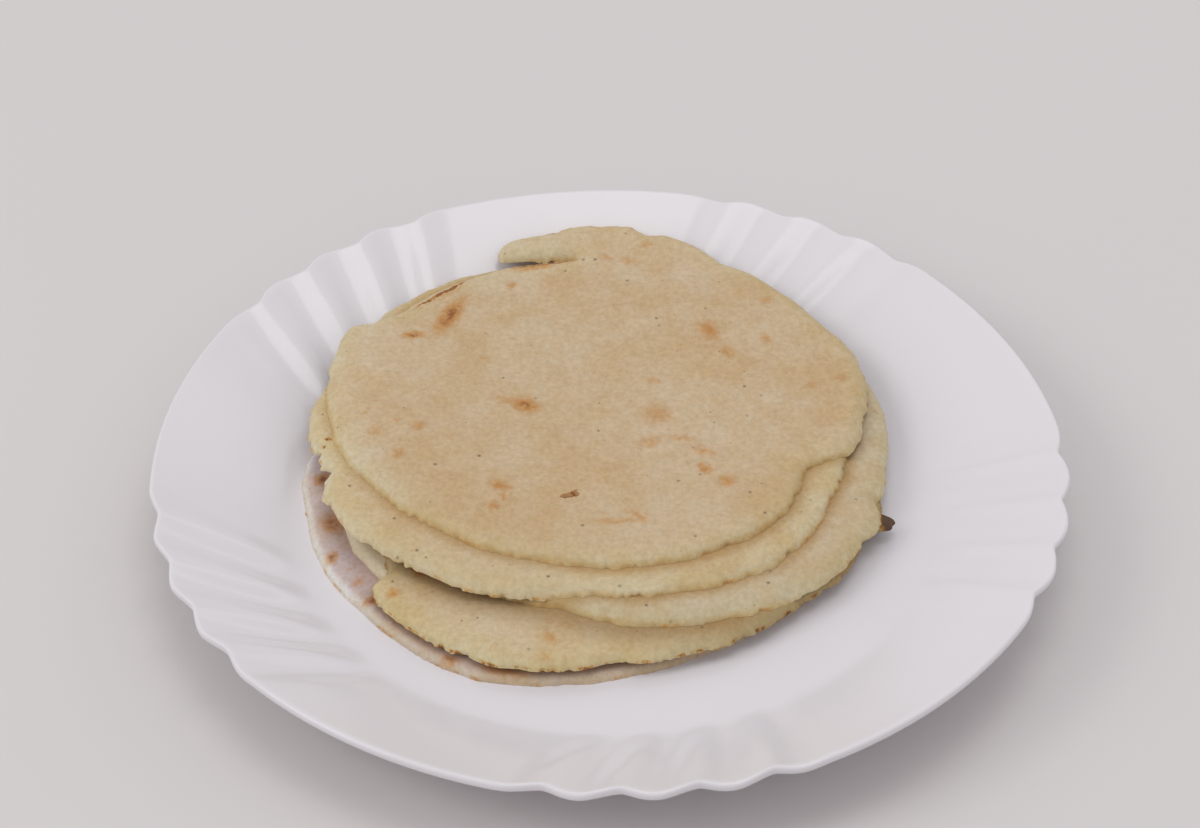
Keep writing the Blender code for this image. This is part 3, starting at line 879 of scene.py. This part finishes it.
def drops_to_rest(edge, bottoms, under):
    """How far each point of an edge comes down, and how much of the painted contact shade it
    gets.
    """
    drops, resting = [], []
    for (x, y), bottom in zip(edge, bottoms):
        start = Vector((x, y, bottom + PROBE))
        hits = [tree.ray_cast(start, Vector((0, 0, -1)))[0] for tree in under]
        top = max((hit.z for hit in hits if hit), default=-1)
        gap = bottom - top - CONTACT
        drops.append(gap if gap < HANGING else FREE_DROOP)
        resting.append(1.0 if gap < HANGING else FREE_CONTACT_SHADE)
    return smoothed(np.array(drops), CALMING), smoothed(np.array(resting), CALMING)


def nearest(points, outlines):
    """Which of the points of some outlines each point is nearest to, and how far it is."""
    every = np.vstack(outlines)
    tree = KDTree(len(every))
    for number, (x, y) in enumerate(every):
        tree.insert((x, y, 0), number)
    tree.balance()
    found = [tree.find((x, y, 0))[1:] for x, y in points]
    return np.array([number for number, _ in found]), np.array([far for _, far in found])


def outline_of(node, step):
    """Even points along the edge of a node of the frame."""
    top = upper_side(node)
    points = even_points(edge_of(top), step)
    top.free()
    return points


def make_tortilla(node, under, above, settings):
    """A sheet with a ragged, rounded edge, laid as the frame's sheet lies, with its edge down."""
    sheet = SHEETS[node]
    top = upper_side(node)
    low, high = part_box(node)
    drape = Drape(top, low, high)
    top.free()
    rings = edge_rings(outline_of(node, settings.edge_step), sheet, settings.edge_step)
    bm = bmesh.new()
    inset, below = lay_out_sheet(bm, rings, sheet["cell"])
    copied = bmesh.ops.duplicate(bm, geom=bm.verts[:] + bm.edges[:] + bm.faces[:])["geom"]
    bmesh.ops.reverse_faces(bm, faces=[item for item in copied
                                       if isinstance(item, BMFace)])
    for item in copied:
        if isinstance(item, BMVert):
            item[below] = 1
    verts = bm.verts[:]
    points = np.array([vert.co.xy for vert in verts])
    depth = np.array([vert[inset] for vert in verts])
    thick = settings.thickness
    drops, resting = drops_to_rest(rings[0], drape(rings[0]) - thick, under)
    places, inward = nearest(points, rings[:1])
    drop = drops[places] * smooth_step(inward, DROOP, 0)
    inset_by = depth * INSETS[-1] * MM
    shoulder = (1 - (1 - np.clip(inset_by / settings.shoulder, 0, 1)) ** 2) ** SHOULDER_POWER
    share = np.where([vert[below] > 0.5 for vert in verts], 0,
                     settings.blunt + (1 - settings.blunt) * shoulder)
    share[depth == 0] = settings.blunt
    heights = drape(points) - thick * (1 - share) - drop + relief(points, sheet["seed"]) * share
    for vert, height in zip(verts, heights):
        vert.co.z = height
    # Painted contact shade along resting edges, and painted shade beside the sheets above.
    tints = {
        "edge_zone": smooth_step(inward, EDGE_ZONE, 0),
        "toe": smooth_step(inset_by, CONTACT_SHADE_WIDTH, 0) * resting[places],
    }
    # Painted shade, fading out with distance from the outlines of the sheets above.
    if above:
        tints["shelter"] = smooth_step(nearest(points, above)[1], sheet["reach"], 0)
    for name, values in tints.items():
        layer = bm.verts.layers.float[name]
        for vert, value in zip(verts, values):
            vert[layer] = value
    bmesh.ops.remove_doubles(bm, verts=[vert for vert in verts if vert[inset] == 0],
                             dist=WELD)
    for edge in bm.edges:
        edge.smooth = max(vert[inset] for vert in edge.verts) > 0
    under.append(BVHTree.FromBMesh(bm))
    slot = node + "_crumb"
    return finish_piece(node.replace("tortilla", "sheet"), bm,
                        crumb_material(slot, sheet, settings), node)


# ---------------------------------------------------------------- stage

AIM = (-2.6 * MM, 20.0 * MM, 23.0 * MM)  # what the camera looks at
TABLE_REACH = 3
TABLE_GAP = 0.02 * MM  # keeps the plate's foot clear of the table
DAYLIGHT = (1, 0.985, 0.97)
SKYLIGHT = (0.93, 0.96, 1.0)
LIGHTS = {  # place, what it faces, width, height and colour
    "key": ((-1.60, -0.45, 1.45), (0, 0, 0), 0.9, 0.9, DAYLIGHT),
    "panel": ((0.10, 0.0, 1.20), (0.10, 0, 0), 0.62, 0.60, DAYLIGHT),
    "window": ((0.52, 0.83, 0.66), (-0.09, 0, 0.02), 0.20, 0.45, SKYLIGHT),
}


def area_light(name, power, place, target, width, height, colour):
    """A rectangular light that faces a target."""
    light = bpy.data.lights.new(name, "AREA")
    light.shape = "RECTANGLE"
    light.size, light.size_y = width, height
    light.energy = power
    light.color = colour
    made = bpy.data.objects.new(name, light)
    made.location = place
    made.rotation_euler = (Vector(target) - Vector(place)).to_track_quat("-Z", "Y").to_euler()
    bpy.context.scene.collection.objects.link(made)
    return made


def make_table(settings):
    """A large flat table under the plate."""
    bm = bmesh.new()
    bmesh.ops.create_grid(bm, x_segments=1, y_segments=1, size=TABLE_REACH)
    mesh = bpy.data.meshes.new("table")
    bm.to_mesh(mesh)
    bm.free()
    mesh.materials.append(table_material(settings))
    table = bpy.data.objects.new("table", mesh)
    table.location.z = -TABLE_GAP
    bpy.context.scene.collection.objects.link(table)


def make_camera(settings):
    """Looks along +Y and down at the stack."""
    data = bpy.data.cameras.new("camera")
    data.lens = settings.focal_length
    data.clip_start = 0.01
    camera = bpy.data.objects.new("camera", data)
    back = Vector((0, -math.cos(settings.elevation), math.sin(settings.elevation)))
    camera.location = Vector(AIM) + back * settings.distance
    camera.rotation_euler = (math.pi / 2 - settings.elevation, 0, 0)
    bpy.context.scene.collection.objects.link(camera)
    bpy.context.scene.camera = camera


def make_room(settings):
    """Even light from all around."""
    world = bpy.data.worlds.new("room")
    bpy.context.scene.world = world
    world.use_nodes = True
    background = world.node_tree.nodes["Background"]
    background.inputs["Color"].default_value = (0.98, 0.98, 1.0, 1)
    background.inputs["Strength"].default_value = settings.room_strength


# ---------------------------------------------------------------- operators and panel

class OBJECT_OT_tortilla_plate(bpy.types.Operator):
    """Make the white fluted plate"""
    bl_idname = "object.tortilla_plate"
    bl_label = "Plate"

    def execute(self, context):
        make_plate(context.scene.plate_settings)
        return {"FINISHED"}


class OBJECT_OT_tortilla_sheets(bpy.types.Operator):
    """Make the tortillas, from the lowest to the top one"""
    bl_idname = "object.tortilla_sheets"
    bl_label = "Tortillas"

    def execute(self, context):
        build_mottle_group()
        build_mark_group()
        build_speck_group()
        build_grain_group()
        plate = bpy.data.objects["dinner_plate"].data
        under = [BVHTree.FromPolygons([vert.co for vert in plate.vertices],
                                      [face.vertices for face in plate.polygons])]
        settings = context.scene.tortilla_settings
        for node, sheet in SHEETS.items():
            above = [outline_of(other, settings.edge_step) for other in sheet["above"]]
            make_tortilla(node, under, above, settings)
        return {"FINISHED"}


class OBJECT_OT_tortilla_stage(bpy.types.Operator):
    """Make the table, the lights and the camera"""
    bl_idname = "object.tortilla_stage"
    bl_label = "Stage"

    def execute(self, context):
        settings = context.scene.stage_settings
        make_table(settings)
        make_room(settings)
        make_camera(settings)
        for name, light in LIGHTS.items():
            area_light(name, getattr(settings, name + "_power"), *light)
        context.scene.view_settings.view_transform = "Standard"
        return {"FINISHED"}


class VIEW3D_PT_tortilla_stack(bpy.types.Panel):
    """Buttons and settings of the stack"""
    bl_label = "Tortilla stack"
    bl_idname = "VIEW3D_PT_tortilla_stack"
    bl_space_type = "VIEW_3D"
    bl_region_type = "UI"
    bl_category = "Tortillas"

    def draw(self, context):
        for operator, settings in STEPS.items():
            box = self.layout.box()
            box.operator(operator.bl_idname)
            group = getattr(context.scene, settings)
            for name in type(group).__annotations__:
                box.prop(group, name)


STEPS = {
    OBJECT_OT_tortilla_stage: "stage_settings",
    OBJECT_OT_tortilla_plate: "plate_settings",
    OBJECT_OT_tortilla_sheets: "tortilla_settings",
}
SETTINGS = {
    "plate_settings": PlateSettings,
    "tortilla_settings": TortillaSettings,
    "stage_settings": StageSettings,
}
CLASSES = (*SETTINGS.values(), *STEPS, VIEW3D_PT_tortilla_stack)


def register():
    for kind in CLASSES:
        bpy.utils.register_class(kind)
    for name, kind in SETTINGS.items():
        setattr(bpy.types.Scene, name, bpy.props.PointerProperty(type=kind))


def unregister():
    for name in SETTINGS:
        delattr(bpy.types.Scene, name)
    for kind in reversed(CLASSES):
        bpy.utils.unregister_class(kind)


def main():
    register()
    bpy.ops.object.tortilla_stage()
    bpy.ops.object.tortilla_plate()
    bpy.ops.object.tortilla_sheets()


if __name__ == "__main__":
    main()
